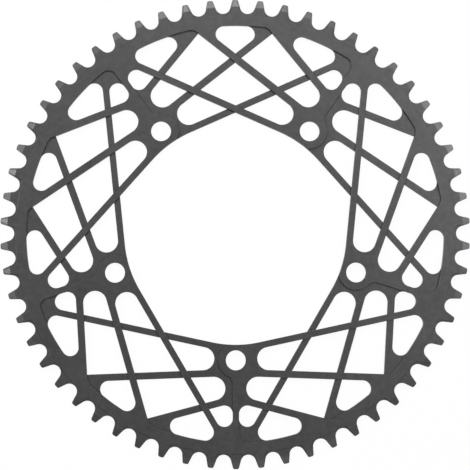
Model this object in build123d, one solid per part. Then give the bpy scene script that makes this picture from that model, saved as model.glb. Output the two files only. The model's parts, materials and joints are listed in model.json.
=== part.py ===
from build123d import *
import os
from math import acos, atan, atan2, cos, degrees, radians, sin, tan

# A one-piece bicycle chainring: a toothed rim, five bolt pads, and a lattice of struts between them.
# Millimetres. The ring's axis is +Z, the back face lies on z = 0 and the front face looks up.
# One wide tooth, and the middle of one lattice sector, are on +Y.

# Chain and teeth
tooth_pairs = 29
chain_pitch = 12.7
roller_seat_radius = 3.9
tip_above_pitch_circle = 3.31
tooth_flank_angle = 14.8
tip_bevel_length = 3.7

# Narrow teeth alternate with wide teeth, which have a raised pad on each face
narrow_tooth_thickness = 2.0
narrow_tip_thickness = 0.9
wide_tip_thickness = 1.9
wide_pad_inset = 0.7

# Plate
plate_thickness = 3.6
rim_width = 6.2
relief_below_root = 0.6

# Bolts
bolt_count = 5
bolt_circle_diameter = 130.0
bolt_hole_diameter = 10.2
bolt_boss_diameter = 18.0
bolt_to_bore = 7.95

# Lattice struts: where each one starts on the rim, in degrees, and how far outside the bolt it passes.
# The long strut starts beside a neck and runs into the bore, the others start beside the sector's middle.
long_strut_neck_angle = 3.0
long_strut_width = 3.3
mid_strut_rim_angle = 10.3
mid_strut_bolt_offset = 6.2
mid_strut_width = 3.6
short_strut_rim_angle = 10.5
short_strut_bolt_offset = 18.9
short_strut_width = 3.6

# Windows between the struts
neck_width = 3.2
window_corner_radius = 4.3
mid_window_setback = 13.4
inner_window_setback = 16.9

# The struts that pass underneath are milled down from the front
recess_depth = 1.3
recess_corner_radius = 4.5
boss_blend_radius = 5.0

# Sizes that follow
tooth_count = 2 * tooth_pairs
tooth_angle = 360 / tooth_count
pitch_radius = chain_pitch / 2 / sin(radians(tooth_angle / 2))
tip_radius = pitch_radius + tip_above_pitch_circle
root_radius = pitch_radius - roller_seat_radius
relief_radius = root_radius - relief_below_root
bevel_radius = tip_radius - tip_bevel_length
rim_inner_radius = root_radius - rim_width
mid_rim_radius = root_radius - rim_width / 2
bolt_circle_radius = bolt_circle_diameter / 2
bore_radius = bolt_circle_radius - bolt_to_bore
mid_plane = plate_thickness / 2
well_outside = 1.4 * tip_radius
touching = 0.001
most_of_a_side = 0.95

sector_angle = 360 / bolt_count
middle = 90.0
gap_turn = middle + tooth_angle / 2
right_bolt_angle = middle - sector_angle / 2
left_bolt_angle = middle + sector_angle / 2


def polar(radius, angle):
    """The point at a radius and a polar angle, in degrees, from the ring's centre."""
    return Vector(radius * cos(radians(angle)), radius * sin(radians(angle)))


right_bolt = polar(bolt_circle_radius, right_bolt_angle)
left_bolt = polar(bolt_circle_radius, left_bolt_angle)


# Straight lines of the lattice
# A line is a pair: the polar angle of its normal, in degrees, and its distance from the ring's centre.
def meet(first, second):
    """The point where two lines cross."""
    first_angle, first_distance = radians(first[0]), first[1]
    second_angle, second_distance = radians(second[0]), second[1]
    turn = sin(second_angle - first_angle)
    x = first_distance * sin(second_angle) - second_distance * sin(first_angle)
    y = second_distance * cos(first_angle) - first_distance * cos(second_angle)
    return Vector(x / turn, y / turn)


def flipped(line):
    """The line's mirror image across the sector's middle."""
    return (2 * middle - line[0], line[1])


def edges_of(centreline, width):
    """The inner and the outer edge of a strut."""
    angle, distance = centreline
    return (angle, distance - width / 2), (angle, distance + width / 2)


def strut_into_bore(rim_angle, width):
    """Centreline of a strut that starts on the rim and whose inner edge runs into the bore."""
    distance = bore_radius + width / 2
    return (middle + rim_angle - degrees(acos(distance / rim_inner_radius)), distance)


def strut_past_bolt(rim_angle, bolt_offset):
    """Centreline of a strut that starts on the rim and passes outside the right-hand bolt."""
    start = polar(rim_inner_radius, middle + rim_angle)
    run = start - right_bolt
    angle = degrees(atan2(run.Y, run.X) - acos(bolt_offset / run.length))
    return (angle, start.dot(polar(1, angle)))


# The struts of one sector that run inwards clockwise. Their mirror images pass underneath.
long_strut = strut_into_bore(sector_angle / 2 - long_strut_neck_angle, long_strut_width)
mid_strut = strut_past_bolt(mid_strut_rim_angle, mid_strut_bolt_offset)
short_strut = strut_past_bolt(-short_strut_rim_angle, short_strut_bolt_offset)
long_inner, long_outer = edges_of(long_strut, long_strut_width)
mid_inner, mid_outer = edges_of(mid_strut, mid_strut_width)
short_inner, short_outer = edges_of(short_strut, short_strut_width)

# The neck joins each bolt pad straight to the rim
right_neck_edge = (right_bolt_angle + 90, neck_width / 2)
left_neck_edge = flipped(right_neck_edge)


# Windows of one sector
def rim_window(left, right):
    """Window with a rounded side along the rim, between two lines that cross nearer the bore."""
    point = meet(left, right)
    left_end = left[0] + degrees(acos(left[1] / rim_inner_radius))
    right_end = right[0] - degrees(acos(right[1] / rim_inner_radius))
    left_corner = polar(rim_inner_radius, left_end)
    right_corner = polar(rim_inner_radius, right_end)
    crown = polar(rim_inner_radius, (left_end + right_end) / 2)
    rim_side = ThreePointArc(right_corner, crown, left_corner)
    face = make_face([Line(point, right_corner), rim_side, Line(left_corner, point)])
    corners = face.vertices().sort_by(lambda corner: Vector(corner).length)[-2:]
    return fillet(corners, window_corner_radius)


def four_sided(first, second, third, fourth):
    """Outline with four straight sides and sharp corners."""
    corners = [meet(first, second), meet(second, third), meet(third, fourth), meet(fourth, first)]
    return make_face(Polyline(*corners, close=True))


def neck_window():
    """Window beside the right-hand neck, sharp only where two struts cross."""
    crossing = flipped(long_inner)
    point = meet(crossing, short_outer)
    pad_corner = meet(short_outer, right_neck_edge)
    rim_corner = meet(right_neck_edge, crossing)
    neck_side = rim_corner - pad_corner
    pad_angle = radians(neck_side.get_angle(point - pad_corner))
    rim_angle = radians((neck_side * -1).get_angle(point - rim_corner))
    room = neck_side.length / (1 / tan(pad_angle / 2) + 1 / tan(rim_angle / 2))
    radius = min(window_corner_radius, most_of_a_side * room)
    return make_face(FilletPolyline(point, pad_corner, rim_corner, radius=[0, radius, radius], close=True))


def pad_window(lower, upper, setback):
    """Window between two struts, with a round end that stops short of the right-hand bolt."""
    crossing = flipped(long_inner)
    middle_angle = (lower[0] + upper[0]) / 2
    half_spread = radians(lower[0] - upper[0]) / 2
    middle_distance = (lower[1] + upper[1]) / 2 / cos(half_spread)
    towards_pad = polar(1, middle_angle - 90)
    centre = polar(middle_distance, middle_angle) + towards_pad * (right_bolt.dot(towards_pad) - setback)
    radius = centre.dot(polar(1, lower[0])) - lower[1]
    lower_end = centre - polar(radius, lower[0])
    upper_end = centre + polar(radius, upper[0])
    lower_corner = meet(crossing, lower)
    upper_corner = meet(crossing, upper)
    sides = [
        Line(lower_corner, lower_end),
        ThreePointArc(lower_end, centre + towards_pad * radius, upper_end),
        Line(upper_end, upper_corner),
        Line(upper_corner, lower_corner),
    ]
    return make_face(sides)


rim_middle_window = rim_window(mid_outer, flipped(mid_outer))
centre_window = four_sided(mid_inner, flipped(long_outer), long_outer, flipped(mid_inner))
kite_window = four_sided(flipped(mid_inner), short_inner, flipped(long_outer), mid_outer)
rim_side_window = rim_window(short_outer, flipped(long_outer))
beside_neck_window = neck_window()
outer_pad_window = pad_window(mid_outer, short_inner, mid_window_setback)
inner_pad_window = pad_window(long_outer, mid_inner, inner_window_setback)
right_windows = [kite_window, rim_side_window, beside_neck_window, outer_pad_window, inner_pad_window]
left_windows = [mirror(window, about=Plane.YZ) for window in right_windows]
sector_windows = [rim_middle_window, centre_window] + right_windows + left_windows


def bore():
    """Centre opening: an arc inside each pad, and straight struts that cross between the pads."""
    sides = []
    for sector in range(bolt_count):
        turn = sector * sector_angle
        right_end = polar(bore_radius, long_inner[0] + turn)
        left_end = polar(bore_radius, flipped(long_inner)[0] + turn)
        crossing = meet(long_inner, flipped(long_inner)).rotate(Axis.Z, turn)
        next_end = polar(bore_radius, long_inner[0] + turn + sector_angle)
        pad_middle = polar(bore_radius, left_bolt_angle + turn)
        sides += [Line(right_end, crossing), Line(crossing, left_end)]
        sides.append(ThreePointArc(left_end, pad_middle, next_end))
    return make_face(sides)


# Front recess of one sector
def on_circle(corner, radius, centre=Vector(0, 0)):
    """Whether a corner lies on a circle."""
    return abs((Vector(corner) - centre).length - radius) < touching


def inside(window):
    """A point well inside a window."""
    return window.face().center(CenterOf.MASS)


def neck_touch(window, neck_edge):
    """The middle of the straight side that a window shares with a neck."""
    normal = polar(1, neck_edge[0])
    straight = window.edges().filter_by(GeomType.LINE)
    return straight.sort_by(lambda side: abs((side @ 0.5).dot(normal) - neck_edge[1]))[0] @ 0.5


def band(centreline, width):
    """The full length of a strut."""
    angle, distance = centreline
    return Pos(polar(distance, angle)) * Rot(0, 0, angle + 90) * Rectangle(2 * well_outside, width)


def recess():
    """What is milled away over the struts that pass underneath, from the right neck to the left pad."""
    left_rim_window = mirror(rim_side_window, about=Plane.YZ)
    left_neck_window = mirror(beside_neck_window, about=Plane.YZ)
    left_touch = neck_touch(left_neck_window, left_neck_edge)
    right_touch = neck_touch(beside_neck_window, right_neck_edge)
    along_left_neck = polar(1, left_bolt_angle)
    border = [
        inside(left_rim_window).normalized() * well_outside,
        inside(left_rim_window),
        inside(left_neck_window),
        left_touch,
        left_touch - along_left_neck * (left_touch.length - bore_radius / 2),
        inside(inner_pad_window),
        inside(outer_pad_window),
        inside(beside_neck_window),
        right_touch,
        right_touch + polar(well_outside, right_bolt_angle),
    ]
    area = make_face(Polyline(*border, close=True)) & Circle(rim_inner_radius)
    area -= Pos(left_bolt) * Circle(bolt_boss_diameter / 2)
    for centreline, width in (
        (long_strut, long_strut_width),
        (mid_strut, mid_strut_width),
        (short_strut, short_strut_width),
    ):
        area -= band(centreline, width)
    left_limit = inside(left_rim_window).X
    corners = [c for c in area.vertices() if on_circle(c, rim_inner_radius) and c.X > left_limit]
    area = fillet(corners, recess_corner_radius)
    boss_corners = [c for c in area.vertices() if on_circle(c, bolt_boss_diameter / 2, left_bolt)]
    return fillet(max(boss_corners, key=lambda c: Vector(c).length), boss_blend_radius)


# Teeth
def tooth_gap():
    """The space between two teeth, on +Y: a round seat for a chain roller, and two straight flanks."""
    seat_centre = Vector(0, pitch_radius)
    spread = radians(tooth_flank_angle + tooth_angle / 2)
    past_the_tip = 2 * (tip_radius - root_radius)
    right = seat_centre + Vector(cos(spread), -sin(spread)) * roller_seat_radius
    right_end = right + Vector(sin(spread), cos(spread)) * past_the_tip
    left = Vector(-right.X, right.Y)
    left_end = Vector(-right_end.X, right_end.Y)
    sides = [
        Line(right_end, right),
        ThreePointArc(right, Vector(0, root_radius), left),
        Line(left, left_end),
        Line(left_end, right_end),
    ]
    return make_face(sides)


def polygon(flat_radius, sides, turn):
    """A regular polygon, given by the distance of its sides from the ring's centre."""
    return Rot(0, 0, turn) * RegularPolygon(flat_radius, sides, major_radius=False)


def toothed_outline():
    """The ring's outline, with a tooth on +Y and a straight tip on each tooth."""
    gap = tooth_gap()
    gaps = [Rot(0, 0, (number + 0.5) * tooth_angle) * gap for number in range(tooth_count)]
    return polygon(tip_radius, tooth_count, gap_turn) - gaps


def wide_pad():
    """Outline of the raised pad on the tooth on +Y, with its flanks inside the tooth's own."""
    seat_centre = polar(pitch_radius, middle - tooth_angle / 2)
    flank_distance = seat_centre.dot(polar(1, tooth_flank_angle)) - roller_seat_radius
    flank = (tooth_flank_angle, flank_distance - wide_pad_inset)
    tip = (middle, tip_radius)
    foot = (middle, mid_rim_radius)
    return four_sided(flank, tip, flipped(flank), foot)


def bevelled_disc(thickness, tip_thickness):
    """A disc around the ring's middle plane, with a flat bevel on each face for every tooth."""
    slope = (thickness - tip_thickness) / 2 / tip_bevel_length
    edge_radius = bevel_radius + thickness / 2 / slope
    edge = polygon(edge_radius, tooth_count, gap_turn)
    half = extrude(edge, thickness / 2, taper=90 - degrees(atan(slope)))
    return Pos(0, 0, mid_plane) * (half + mirror(half, about=Plane.XY))


def sectors(faces):
    """Copies of one sector's faces in all sectors."""
    return [Rot(0, 0, number * sector_angle) * face for number in range(bolt_count) for face in faces]


# Plate with the rim, the pads and the lattice
pads = [Rot(0, 0, number * tooth_angle) * wide_pad() for number in range(0, tooth_count, 2)]
bolt_hole = Pos(right_bolt) * Circle(bolt_hole_diameter / 2)
openings = [bore()] + sectors(sector_windows + [bolt_hole])
plate_outline = polygon(relief_radius, tooth_pairs, middle) + pads - openings
plate = extrude(plate_outline, 2 * plate_thickness, both=True)
plate &= bevelled_disc(plate_thickness, wide_tip_thickness)

# Narrow teeth, all round
tooth_band = toothed_outline() - Circle(mid_rim_radius)
teeth = extrude(tooth_band, 2 * plate_thickness, both=True)
teeth &= bevelled_disc(narrow_tooth_thickness, narrow_tip_thickness)

# The finished ring
chainring = plate + teeth
recess_floor = Pos(0, 0, plate_thickness - recess_depth)
for area in sectors(recess().faces()):
    chainring -= recess_floor * extrude(area, 2 * recess_depth)

os.makedirs("parts", exist_ok=True)
export_step(chainring, "parts/chainring.step")
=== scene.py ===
# %% [markdown]
# A bicycle chainring
#
# A chainring is the large toothed wheel beside the pedals. This one is a single flat piece of aluminium,
# milled from plate and anodised dark grey, so it is one piece here too, with no joints.
# Two things repeat around it: a sector of crossing struts, five times, and a pair of teeth, twenty-nine
# times. The lesson draws one of each, and a node tree turns them around the axis and joins them.

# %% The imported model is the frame
import json
from math import acos, atan2, ceil, cos, degrees, radians, sin, tan

import bmesh
import bpy
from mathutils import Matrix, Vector
from mathutils.geometry import delaunay_2d_cdt


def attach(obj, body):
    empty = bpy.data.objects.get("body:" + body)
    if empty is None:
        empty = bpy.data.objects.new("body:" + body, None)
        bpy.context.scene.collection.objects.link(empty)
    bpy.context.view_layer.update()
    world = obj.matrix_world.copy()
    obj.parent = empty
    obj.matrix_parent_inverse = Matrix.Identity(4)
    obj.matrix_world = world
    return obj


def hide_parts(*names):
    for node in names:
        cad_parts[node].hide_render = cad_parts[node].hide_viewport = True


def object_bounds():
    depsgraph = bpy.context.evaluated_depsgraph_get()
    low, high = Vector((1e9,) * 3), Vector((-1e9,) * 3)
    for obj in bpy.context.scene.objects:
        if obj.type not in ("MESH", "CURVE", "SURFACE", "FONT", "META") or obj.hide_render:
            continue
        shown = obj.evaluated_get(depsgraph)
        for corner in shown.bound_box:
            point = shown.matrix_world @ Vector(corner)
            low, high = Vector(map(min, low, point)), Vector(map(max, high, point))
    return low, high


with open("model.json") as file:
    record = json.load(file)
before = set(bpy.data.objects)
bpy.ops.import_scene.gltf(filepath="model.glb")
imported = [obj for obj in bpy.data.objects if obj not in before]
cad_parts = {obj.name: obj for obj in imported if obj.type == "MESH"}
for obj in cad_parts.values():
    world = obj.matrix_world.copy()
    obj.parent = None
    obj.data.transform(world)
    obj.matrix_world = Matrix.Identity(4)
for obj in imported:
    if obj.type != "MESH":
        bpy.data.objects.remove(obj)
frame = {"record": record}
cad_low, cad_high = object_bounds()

print("CAD box from", cad_low[:], "to", cad_high[:])

# %% [markdown]
# Sizes of the ring
#
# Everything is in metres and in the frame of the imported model: the axis is Z, the back lies on z = 0.
# Angles are in degrees, and polar angles run counter-clockwise from X. The plate's thickness and the bolt
# circle come from that model. The other sizes are those of the real ring: the chain sets the teeth, and the
# lattice is given by where its struts start and how wide they are.

# %% Sizes of the ring
mm = 0.001

# Plate and bolts
mounts = {mount["name"]: mount["dims"] for mount in frame["record"]["mounts"]}
bolt_count = mounts["spider_bolts"]["count"]
bolt_circle_radius = mounts["spider_bolts"]["pcd_mm"] / 2 * mm
bolt_hole_radius = mounts["spider_bolts"]["hole_r_mm"] * mm
bolt_boss_radius = 9.0 * mm
bolt_to_bore = 7.95 * mm
plate_thickness = cad_high.z - cad_low.z

# Chain and teeth
tooth_pairs = 29
chain_pitch = 12.7 * mm
roller_seat_radius = 3.9 * mm
tip_above_pitch_circle = 3.31 * mm
tooth_flank_angle = 14.8
tip_bevel_length = 3.7 * mm
narrow_tooth_thickness = 2.0 * mm
narrow_tip_thickness = 0.9 * mm
wide_tip_thickness = 1.9 * mm
wide_pad_inset = 0.7 * mm

# Rim, struts and windows
rim_width = 6.2 * mm
relief_below_root = 0.6 * mm
long_strut_neck_angle = 3.0
long_strut_width = 3.3 * mm
mid_strut_rim_angle = 10.3
mid_strut_bolt_offset = 6.2 * mm
mid_strut_width = 3.6 * mm
short_strut_rim_angle = 10.5
short_strut_bolt_offset = 18.9 * mm
short_strut_width = 3.6 * mm
neck_width = 3.2 * mm
window_corner_radius = 4.3 * mm
mid_window_setback = 13.4 * mm
inner_window_setback = 16.9 * mm

# Milled areas
recess_depth = 1.3 * mm
recess_corner_radius = 4.5 * mm
boss_blend_radius = 5.0 * mm

# Sizes that follow
tooth_angle = 180 / tooth_pairs
pitch_radius = chain_pitch / 2 / sin(radians(tooth_angle / 2))
tip_radius = pitch_radius + tip_above_pitch_circle
root_radius = pitch_radius - roller_seat_radius
relief_radius = root_radius - relief_below_root
bevel_radius = tip_radius - tip_bevel_length
rim_inner_radius = root_radius - rim_width
mid_rim_radius = root_radius - rim_width / 2
bore_radius = bolt_circle_radius - bolt_to_bore
mid_plane = plate_thickness / 2
sector_angle = 360 / bolt_count
middle = 90.0
right_bolt_angle = middle - sector_angle / 2
left_bolt_angle = middle + sector_angle / 2
print("tip radius", round(tip_radius / mm, 3), "mm, and in the CAD box", round(cad_high.y / mm, 3), "mm")

# %% [markdown]
# Lines and arcs in the plane
#
# The ring is flat, so its whole pattern can be drawn in the plane first. A straight edge is a pair: the
# polar angle of its normal and its distance from the axis. Two such pairs meet in a point, and a pair is
# mirrored by mirroring its angle, which is all that the lattice needs. Round stretches are arcs with a
# small, even step.

# %% Points and arcs
arc_step = 5.0
chord_height = 0.01 * mm
origin = Vector((0, 0))


def polar(radius, angle):
    """The point at a radius and a polar angle."""
    return Vector((radius * cos(radians(angle)), radius * sin(radians(angle))))


def heading(vector):
    """The polar angle of a direction."""
    return degrees(atan2(vector.y, vector.x))


def arc(centre, radius, start, end, largest_step=arc_step):
    """Points along an arc from one polar angle to another, both ends included."""
    step = min(largest_step, 2 * degrees(acos(1 - chord_height / radius)))
    count = ceil(abs(end - start) / step)
    return [centre + polar(radius, start + (end - start) * number / count) for number in range(count + 1)]


def rounded(before, corner, after, radius, largest_step=arc_step):
    """The arc that rounds a corner of an outline that runs counter-clockwise."""
    arriving = (corner - before).normalized()
    leaving = (after - corner).normalized()
    turn = degrees(arriving.angle(leaving))
    centre = corner + (leaving - arriving).normalized() * radius / cos(radians(turn / 2))
    start = heading(arriving) - 90
    return arc(centre, radius, start, start + turn, largest_step)


def mirrored(outline, angle=middle):
    """The outline's mirror image across the line from the axis at a polar angle."""
    fold = polar(1, angle)
    return [fold * 2 * fold.dot(point) - point for point in outline]


def centre_of(outline):
    """A point well inside an outline."""
    return sum(outline, origin) / len(outline)


print("a quarter turn of a window corner has", len(arc(origin, window_corner_radius, 0, 90)), "points")


# %% Lines
def meet(first, second):
    """The point where two lines cross."""
    turn = sin(radians(second[0] - first[0]))
    x = first[1] * sin(radians(second[0])) - second[1] * sin(radians(first[0]))
    y = second[1] * cos(radians(first[0])) - first[1] * cos(radians(second[0]))
    return Vector((x / turn, y / turn))


def flipped(line):
    """The line's mirror image across the sector's middle."""
    return (2 * middle - line[0], line[1])


def edges_of(centreline, width):
    """The inner and the outer edge of a strut."""
    angle, distance = centreline
    return (angle, distance - width / 2), (angle, distance + width / 2)



# %% [markdown]
# Struts and windows of one sector
#
# Three struts run inwards clockwise, and their mirror images cross them. What is left between them are
# windows. The window outlines could be traced, but a rule is shorter and stays true when a size changes:
# each window is bounded by strut edges, and is rounded where the cutter turned and sharp where two struts
# cross.

# %% The struts
right_bolt = polar(bolt_circle_radius, right_bolt_angle)
left_bolt = polar(bolt_circle_radius, left_bolt_angle)


def strut_into_bore(rim_angle, width):
    """Centreline of a strut that starts on the rim and whose inner edge runs into the bore."""
    distance = bore_radius + width / 2
    return (middle + rim_angle - degrees(acos(distance / rim_inner_radius)), distance)


def strut_past_bolt(rim_angle, bolt_offset):
    """Centreline of a strut that starts on the rim and passes outside the right-hand bolt."""
    start = polar(rim_inner_radius, middle + rim_angle)
    run = start - right_bolt
    angle = heading(run) - degrees(acos(bolt_offset / run.length))
    return (angle, start.dot(polar(1, angle)))


long_strut = strut_into_bore(sector_angle / 2 - long_strut_neck_angle, long_strut_width)
mid_strut = strut_past_bolt(mid_strut_rim_angle, mid_strut_bolt_offset)
short_strut = strut_past_bolt(-short_strut_rim_angle, short_strut_bolt_offset)
long_inner, long_outer = edges_of(long_strut, long_strut_width)
mid_inner, mid_outer = edges_of(mid_strut, mid_strut_width)
short_inner, short_outer = edges_of(short_strut, short_strut_width)
neck_edge = (right_bolt_angle + 90, neck_width / 2)

# The mirror images, which pass underneath
low_long_inner, low_long_outer = flipped(long_inner), flipped(long_outer)
low_mid_inner, low_mid_outer = flipped(mid_inner), flipped(mid_outer)
low_short_inner, low_short_outer = flipped(short_inner), flipped(short_outer)
print("strut normals at", [round(strut[0], 2) for strut in (long_strut, mid_strut, short_strut)], "degrees")


# %% Shapes of windows
def rim_window(left, right):
    """Window along the rim: its outline, and the polar angle at which its right corner leaves the rim."""
    reach = rim_inner_radius - window_corner_radius
    left_angle = left[0] + degrees(acos((left[1] + window_corner_radius) / reach))
    right_angle = right[0] - degrees(acos((right[1] + window_corner_radius) / reach))
    right_corner = arc(polar(reach, right_angle), window_corner_radius, right[0] - 180, right_angle)
    left_corner = arc(polar(reach, left_angle), window_corner_radius, left_angle, left[0] + 180)
    crown = arc(origin, rim_inner_radius, right_angle, left_angle)
    return [meet(left, right)] + right_corner + crown[1:-1] + left_corner, right_angle


def four_sided(first, second, third, fourth):
    """Outline with four straight sides and sharp corners."""
    return [meet(first, second), meet(second, third), meet(third, fourth), meet(fourth, first)]


def neck_window():
    """Window beside the right-hand neck: its outline, and the two ends of its side along the neck."""
    point = meet(low_long_inner, short_outer)
    pad_corner = meet(short_outer, neck_edge)
    rim_corner = meet(neck_edge, low_long_inner)
    pad_round = rounded(point, pad_corner, rim_corner, window_corner_radius)
    rim_round = rounded(pad_corner, rim_corner, point, window_corner_radius)
    return [point] + pad_round + rim_round, (pad_round[-1], rim_round[0])


def pad_window(lower, upper, setback):
    """Window between two struts, with a round end that stops short of the right-hand bolt."""
    middle_angle = (lower[0] + upper[0]) / 2
    half_spread = radians(lower[0] - upper[0]) / 2
    middle_distance = (lower[1] + upper[1]) / 2 / cos(half_spread)
    towards_pad = polar(1, middle_angle - 90)
    centre = polar(middle_distance, middle_angle) + towards_pad * (right_bolt.dot(towards_pad) - setback)
    radius = centre.dot(polar(1, lower[0])) - lower[1]
    round_end = arc(centre, radius, lower[0] - 180, upper[0])
    return [meet(low_long_inner, lower)] + round_end + [meet(low_long_inner, upper)]


# %% The windows of a sector
rim_middle, rim_middle_end = rim_window(mid_outer, low_mid_outer)
rim_side, rim_side_end = rim_window(short_outer, low_long_outer)
left_rim_side_end = rim_window(long_outer, low_short_outer)[1]
kite = four_sided(low_mid_inner, short_inner, low_long_outer, mid_outer)
centre_window = four_sided(mid_inner, low_long_outer, long_outer, low_mid_inner)
beside_neck, (neck_pad_end, neck_rim_end) = neck_window()
outer_pad = pad_window(mid_outer, short_inner, mid_window_setback)
inner_pad = pad_window(long_outer, mid_inner, inner_window_setback)
right_windows = [kite, rim_side, beside_neck, outer_pad, inner_pad]
windows = [rim_middle, centre_window] + right_windows + [mirrored(window) for window in right_windows]
print(len(windows), "windows in a sector, with", sum(len(window) for window in windows), "outline points")


# %% The bore and the bolt holes
def bore_outline():
    """Centre opening: an arc inside each bolt pad, and straight struts that cross between the pads."""
    outline = []
    for number in range(bolt_count):
        turn = number * sector_angle
        crossing = meet((long_inner[0] + turn, long_inner[1]), (low_long_inner[0] + turn, low_long_inner[1]))
        pad_middle = left_bolt_angle + turn
        outline.append(crossing)
        outline += arc(origin, bore_radius, low_long_inner[0] + turn, pad_middle)
        outline += arc(origin, bore_radius, pad_middle, long_inner[0] + turn + sector_angle)[1:]
    return outline


def bolt_hole(centre, angle):
    """Outline of a bolt hole, with a point on the line from the axis through its centre."""
    return arc(centre, bolt_hole_radius, angle, angle + 360)[:-1]


bore = bore_outline()
bolt_holes = [bolt_hole(right_bolt, right_bolt_angle), bolt_hole(left_bolt, left_bolt_angle)]
print("bore outline of", len(bore), "points, and bolt holes of", len(bolt_holes[0]))

# %% [markdown]
# The struts that pass underneath
#
# On the real ring the mirror-image struts are milled deeper than the rest of the front, so the others seem
# to pass over them, as in basketwork. Each milled area is one outline. It only has to be exact where it ends
# on metal, at a crossing strut, at the rim or at a bolt boss. Elsewhere it runs through the windows, where
# there is nothing to mill.

# %% Shapes of milled areas
outside, inside = 1, -1
boss_turn = 170


def turn_from_rim(line, side):
    """The arc from the rim to a line, for a milled area outside or inside it, and where the arc starts."""
    reach = rim_inner_radius - recess_corner_radius
    angle = line[0] - side * degrees(acos((line[1] + side * recess_corner_radius) / reach))
    end = line[0] + 180 if side == outside else line[0]
    turn = (end - angle) % 360 - 360
    return arc(polar(reach, angle), recess_corner_radius, angle, angle + turn), angle


def at_rim(window, window_end, line, side, last_points):
    """A milled area where a strut leaves the rim, from a rim window to a line."""
    corner, corner_angle = turn_from_rim(line, side)
    along_rim = arc(origin, rim_inner_radius, window_end, corner_angle)
    return [centre_of(window)] + along_rim[:-1] + corner + last_points


def across(strut_edge, low_inner, low_outer):
    """The two points where an edge of a strut crosses both edges of a strut that passes underneath."""
    return [meet(strut_edge, low_inner), meet(strut_edge, low_outer)]


def between(strut_edge, next_edge, low_inner, low_outer):
    """A milled area between two struts."""
    return across(strut_edge, low_inner, low_outer) + across(next_edge, low_inner, low_outer)[::-1]


def boss_side():
    """The left-hand bolt boss, from the blend into the neck round into the bore."""
    reach = bolt_boss_radius + boss_blend_radius
    off_neck = neck_width / 2 + boss_blend_radius
    blend_angle = left_bolt_angle - 90 + degrees(acos(off_neck / reach))
    blend_centre = left_bolt + polar(reach, blend_angle)
    blend = arc(blend_centre, boss_blend_radius, left_bolt_angle + 90, blend_angle + 180)
    return blend + arc(left_bolt, bolt_boss_radius, blend_angle, left_bolt_angle - boss_turn)[1:]


def over_pad():
    """The milled area over the left-hand bolt pad, from the long strut to the boss and the neck."""
    outline = across(long_inner, low_long_inner, low_long_outer) + [centre_of(mirrored(inner_pad))]
    outline += across(long_inner, low_mid_inner, low_mid_outer) + [centre_of(mirrored(outer_pad))]
    outline += across(long_inner, low_short_inner, low_short_outer) + [centre_of(mirrored(beside_neck))]
    outline += mirrored([neck_pad_end]) + boss_side()
    return outline + [polar(bore_radius / 2, left_bolt_angle)]


# %% The milled areas of a sector
left_kite = mirrored(kite)
past_kite = [kite[0], centre_of(kite)] + across(mid_outer, low_mid_inner, low_mid_outer)
past_left_kite = [left_kite[0], centre_of(left_kite)] + across(long_outer, low_short_inner, low_short_outer)
past_neck = [neck_rim_end, centre_of(beside_neck)] + across(short_outer, low_long_inner, low_long_outer)
milled_areas = [
    at_rim(rim_middle, rim_middle_end, short_inner, inside, past_kite),
    at_rim(mirrored(rim_side), left_rim_side_end, mid_inner, inside, past_left_kite),
    at_rim(rim_side, rim_side_end, neck_edge, outside, past_neck),
    between(mid_inner, long_outer, low_mid_inner, low_mid_outer),
    between(short_inner, mid_outer, low_long_inner, low_long_outer),
    between(mid_inner, long_outer, low_long_inner, low_long_outer),
    over_pad(),
]
print(len(milled_areas), "milled areas in a sector, with", sum(map(len, milled_areas)), "outline points")

# %% [markdown]
# From outlines to a solid
#
# A flat part with steps is a map of cells: inside each cell the metal reaches from one height to another.
# Blender's constrained triangulation cuts the plane along all the outlines at once and says which outlines
# each triangle lies in. Every triangle then gets an upper and a lower face, and wherever two neighbours
# differ in height there is a wall between them. Booleans would do it too, but this way no edge is ever split
# by chance.

# %% Cells of the plane
weld_distance = 0.0002 * mm
triangles_in_hull = 0


def counter_clockwise(outline):
    """The outline, turned round if it runs clockwise."""
    area = sum(a.cross(b) for a, b in zip(outline, outline[1:] + outline[:1]))
    return outline if area > 0 else outline[::-1]


def cut_plane(outlines):
    """Divides the plane along named outlines: its corners, its cells, and the names around each cell."""
    points, loops = [], []
    for _, outline in outlines:
        loops.append(list(range(len(points), len(points) + len(outline))))
        points += counter_clockwise(outline)
    cut = delaunay_2d_cdt(points, [], loops, triangles_in_hull, weld_distance)
    corners, _, cells, _, _, around = cut
    return corners, cells, [{outlines[number][0] for number in numbers} for numbers in around]


def sides_of(cell):
    """The sides of a cell, as pairs of neighbouring corners."""
    return zip(cell, cell[1:] + cell[:1])


# %% A shell over the cells
height_step = 0.0001 * mm


class Shell:
    """Vertices and faces over the corners of cells, at heights of whole height steps."""

    def __init__(self, corners, metal):
        """metal has, for each cell, the low and the high step at its corners, or None in an opening."""
        self.corners = corners
        self.steps = {}
        for spans in metal:
            for corner, span in spans.items():
                self.steps.setdefault(corner, set()).update(span or ())
        self.vertices = []
        self.faces = []
        self.places = {}

    def vertex(self, corner, step):
        """The number of the vertex over a corner, which is added when it is first asked for."""
        if (corner, step) not in self.places:
            self.places[corner, step] = len(self.vertices)
            x, y = self.corners[corner]
            self.vertices.append((x, y, step * height_step))
        return self.places[corner, step]

    def column(self, corner, low, high):
        """The vertices over a corner from low to high, one at every height where a cell ends."""
        return [self.vertex(corner, step) for step in sorted(self.steps[corner]) if low <= step <= high]

    def wall(self, start, end, start_span, end_span):
        """Adds a wall over a side of a cell, unless it has no height."""
        if start_span[0] < start_span[1] or end_span[0] < end_span[1]:
            loop = self.column(end, *end_span) + self.column(start, *start_span)[::-1]
            self.faces.append(list(dict.fromkeys(loop)))


# %% A plate from cells
def metal_over(cell, names, corners, heights):
    """The low and the high step at a cell's corners, None in an opening, and nothing outside the part."""
    spans = {}
    if "part" in names:
        for corner in cell:
            span = heights(names, corners[corner])
            spans[corner] = span and tuple(round(z / height_step) for z in span)
    return spans


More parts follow.
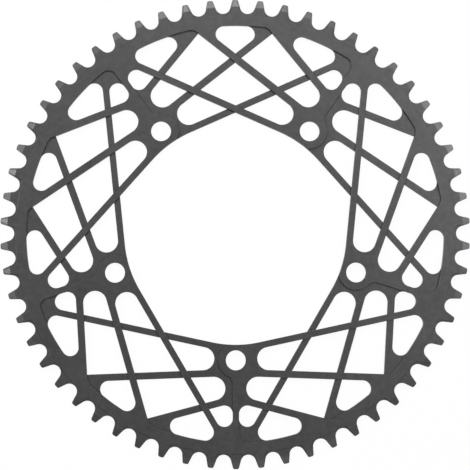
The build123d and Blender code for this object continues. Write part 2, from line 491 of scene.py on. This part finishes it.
def plate(name, outlines, heights):
    """An object of the cells inside the outline named part, left open along that outline.

    heights(names, point) gives the metal's low and high z at a point, or None in an opening.
    """
    corners, cells, names = cut_plane(outlines)
    metal = [metal_over(cell, around, corners, heights) for cell, around in zip(cells, names)]
    beside = {side: spans for cell, spans in zip(cells, metal) for side in sides_of(cell)}
    shell = Shell(corners, metal)
    for cell, spans in zip(cells, metal):
        if not any(spans.values()):
            continue
        shell.faces.append([shell.vertex(corner, spans[corner][1]) for corner in cell])
        shell.faces.append([shell.vertex(corner, spans[corner][0]) for corner in reversed(cell)])
        for start, end in sides_of(cell):
            other = beside.get((end, start))
            if not other:
                continue
            if other[start] is None:
                shell.wall(start, end, spans[start], spans[end])
                continue
            shell.wall(start, end, (other[start][1], spans[start][1]), (other[end][1], spans[end][1]))
            shell.wall(start, end, (spans[start][0], other[start][0]), (spans[end][0], other[end][0]))
    mesh = bpy.data.meshes.new(name)
    mesh.from_pydata(shell.vertices, [], shell.faces)
    print(name, "has", len(shell.vertices), "vertices and", len(shell.faces), "faces")
    return bpy.data.objects.new(name, mesh)


# %% One sector of the lattice
seam_steps_per_pair = 10


def seam(start, end):
    """Points on the circle where the lattice and the teeth meet, which both divide alike."""
    count = round((end - start) / 360 * tooth_pairs * seam_steps_per_pair)
    return [polar(mid_rim_radius, start + (end - start) * number / count) for number in range(count + 1)]


def lattice_heights(names, point):
    """Metal of the lattice: the full plate, or what the milled areas leave of it."""
    if "opening" in names:
        return None
    return (0, plate_thickness - recess_depth) if "milled" in names else (0, plate_thickness)


sector_outlines = [("part", [origin] + seam(right_bolt_angle, left_bolt_angle))]
sector_outlines += [("opening", outline) for outline in windows + bolt_holes + [bore]]
sector_outlines += [("milled", outline) for outline in milled_areas]
sector = plate("sector", sector_outlines, lattice_heights)

# %% [markdown]
# A pair of teeth
#
# Narrow and wide teeth alternate, so that they fit the narrow and wide gaps of a chain and it doesn't jump
# off. The narrow section runs right around the ring. A wide tooth has a raised pad on each face, with its
# flanks a little inside the tooth's own. Both kinds are bevelled towards the tip. The tip's corners are
# rounded, by as much as makes the round end where the pad begins, so that it never cuts into the pad.

# %% Lines of a tooth
tip_step = 15.0
narrow_axis = middle - tooth_angle
gap_axis = middle - tooth_angle / 2
tip_line = (middle, tip_radius)
past_tip = (middle, tip_radius + rim_width)
pad_foot = (middle, (mid_rim_radius + relief_radius) / 2)

seat_centre = polar(pitch_radius, gap_axis)
flank_distance = seat_centre.dot(polar(1, tooth_flank_angle)) - roller_seat_radius
flank = (tooth_flank_angle, flank_distance)
flank_foot = seat_centre - polar(roller_seat_radius, tooth_flank_angle)
pad_flank = (tooth_flank_angle, flank_distance - wide_pad_inset)
tip_corner = meet(flank, tip_line)
tip_round_length = (tip_corner - meet(pad_flank, tip_line)).length
tip_corner_radius = tip_round_length / tan(radians(90 - tooth_flank_angle) / 2)
print("tip corners rounded by", round(tip_corner_radius / mm, 2), "mm")


# %% One wide tooth with half a narrow tooth on each side
def teeth_outline():
    """Outline of the wide tooth and its two neighbours, closed well inside the rim."""
    half_tooth = rounded(flank_foot, tip_corner, polar(tip_radius, middle), tip_corner_radius, tip_step)[::-1]
    half_tooth += arc(seat_centre, roller_seat_radius, tooth_flank_angle + 180, gap_axis + 180)
    right = half_tooth + mirrored(half_tooth, gap_axis)[-2::-1]
    right += mirrored(right[-1:], narrow_axis)
    inner = polar(rim_inner_radius, middle - 2 * tooth_angle)
    return mirrored(right)[::-1] + right + [inner] + mirrored([inner])


def rim_outline():
    """What has the plate's full thickness: the rim, up to a straight step below each narrow tooth."""
    step = (narrow_axis, relief_radius)
    corner = meet(step, flipped(step))
    right = mirrored([corner], narrow_axis) + [polar(rim_inner_radius, middle - 2 * tooth_angle)]
    return [corner] + right + mirrored(right)[::-1]


def tooth_heights(names, point):
    """Metal of the teeth, around the ring's middle plane, thinner towards the tip."""
    if "metal" not in names:
        return None
    thickness, tip_thickness = narrow_tooth_thickness, narrow_tip_thickness
    if "rim" in names or "pad" in names:
        thickness, tip_thickness = plate_thickness, wide_tip_thickness
    if "bevel" in names:
        tooth = middle + round((heading(point) - middle) / tooth_angle) * tooth_angle
        share = (point.dot(polar(1, tooth)) - bevel_radius) / tip_bevel_length
        thickness -= share * (thickness - tip_thickness)
    return (mid_plane - thickness / 2, mid_plane + thickness / 2)


bevel_foot = (middle, bevel_radius)
bevel = four_sided((0, roller_seat_radius), past_tip, (180, roller_seat_radius), bevel_foot)
right_bevel = mirrored(bevel, gap_axis)
pad = four_sided(pad_flank, past_tip, flipped(pad_flank), pad_foot)
wedge = seam(narrow_axis, middle + tooth_angle)
wedge += [polar(past_tip[1], middle + tooth_angle), polar(past_tip[1], narrow_axis)]
pair_outlines = [("part", wedge), ("metal", teeth_outline()), ("rim", rim_outline()), ("pad", pad)]
pair_outlines += [("bevel", outline) for outline in (bevel, right_bevel, mirrored(right_bevel))]
tooth_pair = plate("tooth_pair", pair_outlines, tooth_heights)

# %% [markdown]
# Sums on nodes
#
# A node tree is a sum written as boxes and lines, and in a script it soon gets hard to read. So one small
# class wraps the output of a node. Arithmetic on it adds Math nodes, and one method adds any other node.
# The tree that repeats the two pieces is written with it, and later the finish of the metal.


# %% Node values as Python expressions
class Value:
    """An output of a node. Arithmetic on it adds Math nodes."""

    def __init__(self, tree, socket=None):
        self.tree = tree
        self.socket = socket

    def node(self, kind, settings, inputs, output=0):
        """Adds a node: its settings first, then the values or links of its sockets, or a list of links."""
        made = self.tree.nodes.new(kind)
        for name, value in settings.items():
            setattr(made, name, value)
        for name, value in inputs.items():
            for link in value if isinstance(value, list) else [value]:
                if isinstance(link, Value):
                    self.tree.links.new(link.socket, made.inputs[name])
                else:
                    made.inputs[name].default_value = link
        return Value(self.tree, made.outputs[output]) if made.outputs else None

    def math(self, operation, first, second=0.0):
        return self.node("ShaderNodeMath", {"operation": operation}, {0: first, 1: second})

    def __add__(self, other):
        return self.math("ADD", self, other)

    def __sub__(self, other):
        return self.math("SUBTRACT", self, other)

    def __rsub__(self, other):
        return self.math("SUBTRACT", other, self)

    def __mul__(self, other):
        return self.math("MULTIPLY", self, other)

    def __truediv__(self, other):
        return self.math("DIVIDE", self, other)

    def __rtruediv__(self, other):
        return self.math("DIVIDE", other, self)

    __radd__ = __add__
    __rmul__ = __mul__


# %% [markdown]
# Once around the axis
#
# Copies could be made by a loop or by array modifiers. A node tree is clearer here: it takes the two pieces
# and their counts as named inputs, turns one instance of each piece to every place, makes the instances real
# and welds the seams. The result is turned into a plain mesh, and the tree has done its work.

# %% The node tree
ring_inputs = {
    "Sector": "Object",
    "Sector count": "Int",
    "Tooth pair": "Object",
    "Tooth pair count": "Int",
    "Weld distance": "Float",
    "Finish": "Material",
}


def ring_tree():
    """A tree that turns two pieces around the axis, each as often as its count says, and welds them."""
    tree = bpy.data.node_groups.new("ring of two pieces", "GeometryNodeTree")
    tree.interface.new_socket("Geometry", in_out="OUTPUT", socket_type="NodeSocketGeometry")
    for name, kind in ring_inputs.items():
        tree.interface.new_socket(name, in_out="INPUT", socket_type="NodeSocket" + kind)
    start = Value(tree)
    given = {name: start.node("NodeGroupInput", {}, {}, name) for name in ring_inputs}
    copies = []
    for piece in ("Sector", "Tooth pair"):
        count = given[piece + " count"]
        shape = start.node("GeometryNodeObjectInfo", {}, {"Object": given[piece]}, "Geometry")
        points = start.node("GeometryNodePoints", {}, {"Count": count})
        turn = start.node("GeometryNodeInputIndex", {}, {}) * (radians(360) / count)
        rotation = start.node("ShaderNodeCombineXYZ", {}, {"Z": turn})
        places = {"Points": points, "Instance": shape, "Rotation": rotation}
        copies.append(start.node("GeometryNodeInstanceOnPoints", {}, places))
    joined = start.node("GeometryNodeJoinGeometry", {}, {"Geometry": copies})
    real = start.node("GeometryNodeRealizeInstances", {}, {"Geometry": joined})
    seams = {"Geometry": real, "Distance": given["Weld distance"]}
    welded = start.node("GeometryNodeMergeByDistance", {}, seams)
    finished = start.node("GeometryNodeSetMaterial", {}, {"Geometry": welded, "Material": given["Finish"]})
    start.node("NodeGroupOutput", {}, {"Geometry": finished})
    print("tree of", len(tree.nodes), "nodes")
    return tree


# %% The welded ring
seam_weld_distance = 0.001 * mm


def work_in_modifiers(piece):
    """Turns a piece, with all its modifiers worked in, into a plain mesh."""
    graph = bpy.context.evaluated_depsgraph_get()
    mesh = bpy.data.meshes.new_from_object(piece.evaluated_get(graph), depsgraph=graph)
    piece.modifiers.clear()
    piece.data = mesh


def make_ring(sector, tooth_pair, finish):
    """The welded ring, as one object with a plain mesh. The two pieces are used up."""
    collection = bpy.context.scene.collection
    for piece in (sector, tooth_pair):
        collection.objects.link(piece)
    ring = bpy.data.objects.new("anodised_ring", bpy.data.meshes.new("anodised_ring"))
    collection.objects.link(ring)
    around = ring.modifiers.new("around the axis", "NODES")
    around.node_group = ring_tree()
    values = {
        "Sector": sector,
        "Sector count": bolt_count,
        "Tooth pair": tooth_pair,
        "Tooth pair count": tooth_pairs,
        "Weld distance": seam_weld_distance,
        "Finish": finish,
    }
    for socket in around.node_group.interface.items_tree:
        if socket.in_out == "INPUT":
            around[socket.identifier] = values[socket.name]
    work_in_modifiers(ring)
    for piece in (sector, tooth_pair):
        bpy.data.objects.remove(piece)
    return ring


def print_measures(ring):
    """Prints whether the ring is closed, and what it measures."""
    shape = bmesh.new()
    shape.from_mesh(ring.data)
    open_edges = sum(1 for edge in shape.edges if len(edge.link_faces) != 2)
    triangles = sum(len(face.verts) - 2 for face in shape.faces)
    volume = round(shape.calc_volume() / mm ** 3)
    print("ring of", triangles, "triangles and", volume, "mm3, with", open_edges, "open edges")
    shape.free()


ring_finish = bpy.data.materials.new("satin_anodising")
ring = make_ring(sector, tooth_pair, ring_finish)
print_measures(ring)

# %% [markdown]
# Broken edges
#
# No real edge is perfectly sharp: after milling, the outer edges of the ring are broken, and the small round
# catches the light. A Bevel modifier does that. It could take every edge above an angle, but the feet of the
# milled steps are inner edges, which stay sharp, so only edges that turn outwards get a weight for it.
# The shallow folds of the tooth tips get none. The bevel runs on a clean surface, so flat cells are joined
# first. Then the flat faces are shaded flat, and the walls and the small rounds smooth, each among
# themselves, so that no shading bleeds from a round into a flat face.

# %% Break the outer edges
edge_break = 0.15 * mm
edge_break_segments = 2
flat_angle = 0.05
break_angle = 30


def break_edges(ring):
    """Joins flat cells, and rounds every outer edge a little."""
    shape = bmesh.new()
    shape.from_mesh(ring.data)
    bmesh.ops.dissolve_limit(shape, angle_limit=radians(flat_angle), verts=shape.verts, edges=shape.edges)
    weight = shape.edges.layers.float.new("bevel_weight_edge")
    for edge in shape.edges:
        edge[weight] = float(edge.calc_face_angle_signed() > radians(break_angle))
    shape.to_mesh(ring.data)
    shape.free()
    rounding = ring.modifiers.new("broken edges", "BEVEL")
    rounding.limit_method = "WEIGHT"
    rounding.width = edge_break
    rounding.segments = edge_break_segments
    rounding.use_clamp_overlap = False
    rounding.loop_slide = False
    work_in_modifiers(ring)


break_edges(ring)
print_measures(ring)

# %% Shade the rounds
flat_slope = 0.95
wall_slope = 0.1
crisp_angle = 50


def shade_rounds(ring):
    """Shades the flat faces flat, and the walls and the broken edges smooth, each among themselves."""
    shape = bmesh.new()
    shape.from_mesh(ring.data)
    for face in shape.faces:
        face.smooth = abs(face.normal.z) < flat_slope
    for edge in shape.edges:
        kinds = {abs(face.normal.z) < wall_slope for face in edge.link_faces}
        edge.smooth = len(kinds) == 1 and edge.calc_face_angle() < radians(crisp_angle)
    print(sum(face.smooth for face in shape.faces), "of", len(shape.faces), "faces are shaded smooth")
    shape.to_mesh(ring.data)
    shape.free()


shade_rounds(ring)

# %% [markdown]
# Satin anodising
#
# Anodised aluminium is metal under a thin dyed skin. It reflects like a metal, but darkly, and blasting
# before the bath leaves a fine grain that spreads the reflection. A single colour would look like paint, so
# three small things vary: the grain, as a bump, and a mottling of a few millimetres and slow clouds in the
# dye, which also change the gloss a little. On top, the walls and the steep edge rounds get painted shade:
# they are painted darker than the faces, standing in for the shade along the milled steps. The walls are
# found by the
# surface normal: its Z is 1 on a face and 0 on a wall.

# %% The finish of the ring
dye = 0.1
plain_tone = 0.69
roughness = 0.4
roughness_range = 0.06
grain_size = 0.22 * mm
grain_detail = 1.0
grain_height = 0.02 * mm
grain_strength = 0.15
mottle_size = 2.5 * mm
mottle_detail = 3.0
mottle_depth = 0.46
cloud_size = 30 * mm
cloud_detail = 3.0
cloud_depth = 0.16
# Painted shade: walls and steep edge rounds are darkened to this share of the tone, between these slopes of
# the normal.
painted_wall_shade = 0.4
wall_shade_from = 0.5
wall_shade_to = 0.2


def new_tree(holder):
    """An empty node tree of a material or world, and its first handle."""
    holder.use_nodes = True
    holder.node_tree.nodes.clear()
    return Value(holder.node_tree)


def noise(place, size, detail):
    """Noise with spots of about a size."""
    return place.node("ShaderNodeTexNoise", {}, {"Vector": place, "Scale": 1 / size, "Detail": detail})


def painted_shade_on_walls(start):
    """A mask of painted shade on the walls and steep edge rounds: 0 on faces, 1 on walls."""
    normal = start.node("ShaderNodeNewGeometry", {}, {}, "Normal")
    upright = start.node("ShaderNodeSeparateXYZ", {}, {"Vector": normal}, "Z")
    slopes = {"Value": start.math("ABSOLUTE", upright), "From Min": wall_shade_from, "From Max": wall_shade_to}
    return start.node("ShaderNodeMapRange", {"interpolation_type": "SMOOTHSTEP"}, slopes)


def finish_ring(material):
    """Dark satin metal with a fine grain, mottling and slow clouds in the dye, and painted shade on the
    walls.
    """
    start = new_tree(material)
    place = start.node("ShaderNodeTexCoord", {}, {}, "Object")
    grain = noise(place, grain_size, grain_detail)
    mottle = noise(place, mottle_size, mottle_detail)
    cloud = noise(place, cloud_size, cloud_detail)
    tone = plain_tone + cloud_depth * cloud + mottle_depth * mottle
    # Painted shade: walls and steep edge rounds are darkened, standing in for the shade along the milled
    # steps.
    tone = tone * (1 - (1 - painted_wall_shade) * painted_shade_on_walls(start))
    colour = start.node("ShaderNodeVectorMath", {"operation": "SCALE"}, {0: (dye, dye, dye), "Scale": tone})
    relief = {"Height": grain, "Strength": grain_strength, "Distance": grain_height}
    surface = {
        "Base Color": colour,
        "Metallic": 1.0,
        "Roughness": roughness - roughness_range / 2 + roughness_range * cloud,
        "Normal": start.node("ShaderNodeBump", {}, relief),
    }
    metal = start.node("ShaderNodeBsdfPrincipled", {}, surface)
    start.node("ShaderNodeOutputMaterial", {}, {"Surface": metal})


finish_ring(ring_finish)
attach(ring, "root")
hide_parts("chainring")
print("finish of", len(ring_finish.node_tree.nodes), "nodes")

# %% [markdown]
# The studio
#
# The ring lies on a white table, seen from a little over a metre above. The table is white to the camera and
# to the metal's reflections, and it still takes a trace of the ring's shadow. Its upright sides stand far
# off: they close the white behind the ring, and the metal reflects them when it is seen from low down.
# Four soft lights stand around the ring, the near one weak, so that the tooth tips show light on the far
# side and dark on the near side. The room adds an even glow.

# %% Table
table_size = 30.0
table_gap = 0.02 * mm
table_side = 10.0
table_grey = 0.9
white_share = 0.96


def white_table():
    """White to the camera and to reflections, and pale matt for the light that it spreads."""
    material = bpy.data.materials.new("white_table")
    start = new_tree(material)
    rays = ("Is Camera Ray", "Is Glossy Ray", "Is Transmission Ray")
    camera, glossy, through = [start.node("ShaderNodeLightPath", {}, {}, ray) for ray in rays]
    seen = start.math("MINIMUM", camera + glossy + through, 1.0)
    matt = start.node("ShaderNodeBsdfDiffuse", {}, {"Color": (table_grey, table_grey, table_grey, 1)})
    white = start.node("ShaderNodeEmission", {}, {"Color": (1, 1, 1, 1), "Strength": 1.0})
    mixed = start.node("ShaderNodeMixShader", {}, {0: seen * white_share, 1: matt, 2: white})
    start.node("ShaderNodeOutputMaterial", {}, {"Surface": mixed})
    return material


def make_table():
    """A large white floor under the ring, with upright sides far off."""
    half = table_size / 2
    corners = [(-half, -half), (half, -half), (half, half), (-half, half)]
    count = len(corners)
    floor = cad_low.z - table_gap
    points = [(x, y, z) for z in (floor, floor + table_side) for x, y in corners]
    sides = [(a, a + count, (a + 1) % count + count, (a + 1) % count) for a in range(count)]
    mesh = bpy.data.meshes.new("table")
    mesh.from_pydata(points, [], [list(range(count))] + sides)
    mesh.materials.append(white_table())
    table = bpy.data.objects.new("table", mesh)
    bpy.context.scene.collection.objects.link(table)


make_table()
print("table of", table_size, "m, with sides of", table_side, "m")

# %% Lights
room_light = 0.3
lamp_distance = 0.8
lamp_size = 0.3
softboxes = {
    "far": {"lean": 39, "towards": 94, "power": 2.1},
    "left": {"lean": 44, "towards": 167, "power": 2.64},
    "right": {"lean": 34, "towards": 21, "power": 1.8},
    "near": {"lean": 33, "towards": 284, "power": 0.42},
}


def make_softbox(name, lean, towards, power):
    """A square soft light that faces the ring: its lean from upright, and the side that it stands on."""
    light = bpy.data.lights.new(name, "AREA")
    light.shape = "SQUARE"
    light.size = lamp_size
    light.energy = power
    sideways = polar(sin(radians(lean)), towards)
    direction = Vector((sideways.x, sideways.y, cos(radians(lean))))
    lamp = bpy.data.objects.new(name, light)
    lamp.location = direction * lamp_distance
    lamp.rotation_euler = direction.to_track_quat("Z", "Y").to_euler()
    lamp.visible_camera = False
    bpy.context.scene.collection.objects.link(lamp)


def make_room():
    """An even glow from all around."""
    world = bpy.data.worlds.new("room")
    bpy.context.scene.world = world
    start = new_tree(world)
    glow = start.node("ShaderNodeBackground", {}, {"Color": (1, 1, 1, 1), "Strength": room_light})
    start.node("ShaderNodeOutputWorld", {}, {"Surface": glow})


for name, box in softboxes.items():
    make_softbox(name, **box)
make_room()
print(len(softboxes), "softboxes and a room of", room_light)

# %% Camera
frame_width = 240.65 * mm
camera_height = 1.3
aim_right = -0.43 * mm
aim_up = -0.78 * mm
tilt_back = 2.58
tilt_left = 1.41
roll = 0.10


def make_camera():
    """A camera nearly above the ring, a little to the near left, with the photograph's frame."""
    data = bpy.data.cameras.new("camera")
    data.lens = data.sensor_width * camera_height / frame_width
    camera = bpy.data.objects.new("camera", data)
    x = aim_right - camera_height * tan(radians(tilt_left))
    y = aim_up - camera_height * tan(radians(tilt_back))
    camera.location = (x, y, cad_high.z + camera_height)
    camera.rotation_euler = (radians(tilt_back), -radians(tilt_left), -radians(roll))
    bpy.context.scene.collection.objects.link(camera)
    bpy.context.scene.camera = camera
    bpy.context.scene.view_settings.view_transform = "Standard"
    place = [round(value, 3) for value in camera.location]
    print("camera at", place, "with a lens of", round(data.lens), "mm")


make_camera()
